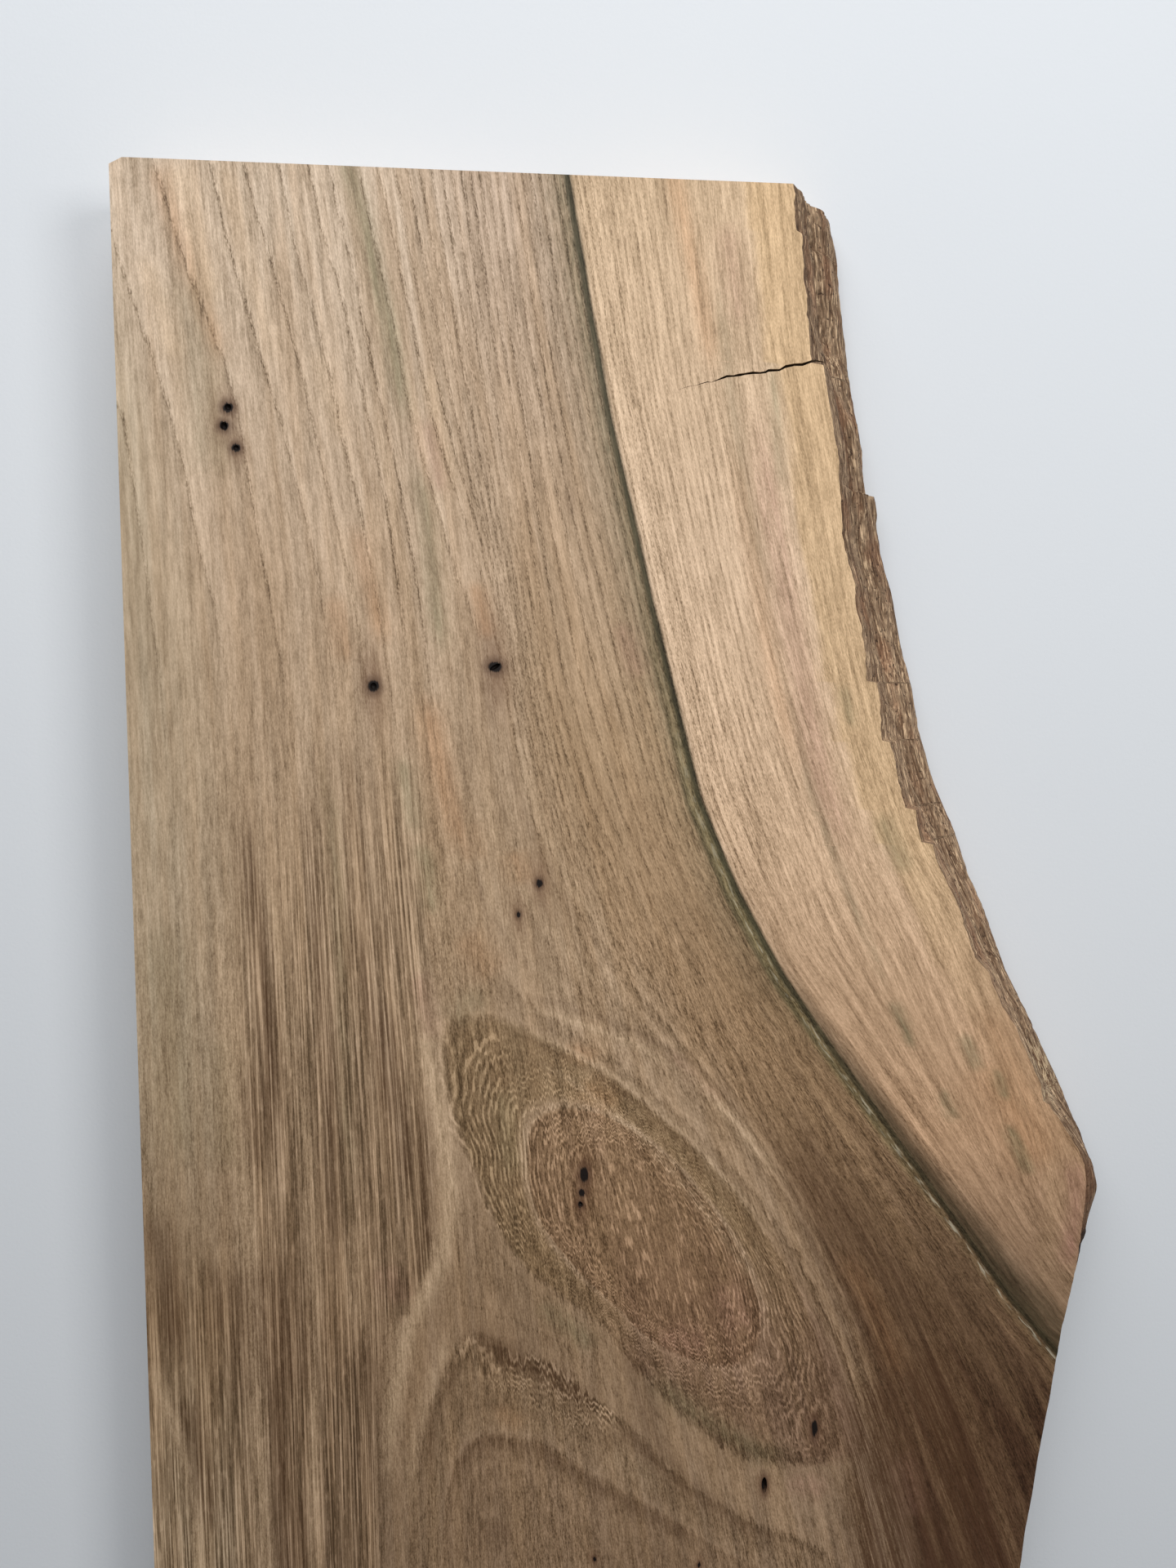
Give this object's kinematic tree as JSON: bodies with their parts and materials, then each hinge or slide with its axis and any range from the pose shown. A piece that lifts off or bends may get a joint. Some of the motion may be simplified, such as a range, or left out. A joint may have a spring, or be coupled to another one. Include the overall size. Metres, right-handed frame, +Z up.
{
  "type": "elm offcut",
  "caption": "Flat offcut of sawn elm board with one live edge, lying on its underside: a planed face, a ripped edge, a crosscut end, a check and small knots",
  "frame": {"origin": "middle of the underside, below the middle of the whole piece", "axes": "+Z up through the thickness, +Y along the board to its crosscut end, +X across it to the live edge"},
  "size_m": [0.3128, 0.47, 0.032],
  "materials": {
    "elm": "planed and unfinished, dull"
  },
  "bodies": {
    "root": {"elm_offcut": "elm"}
  },
  "joints": []
}
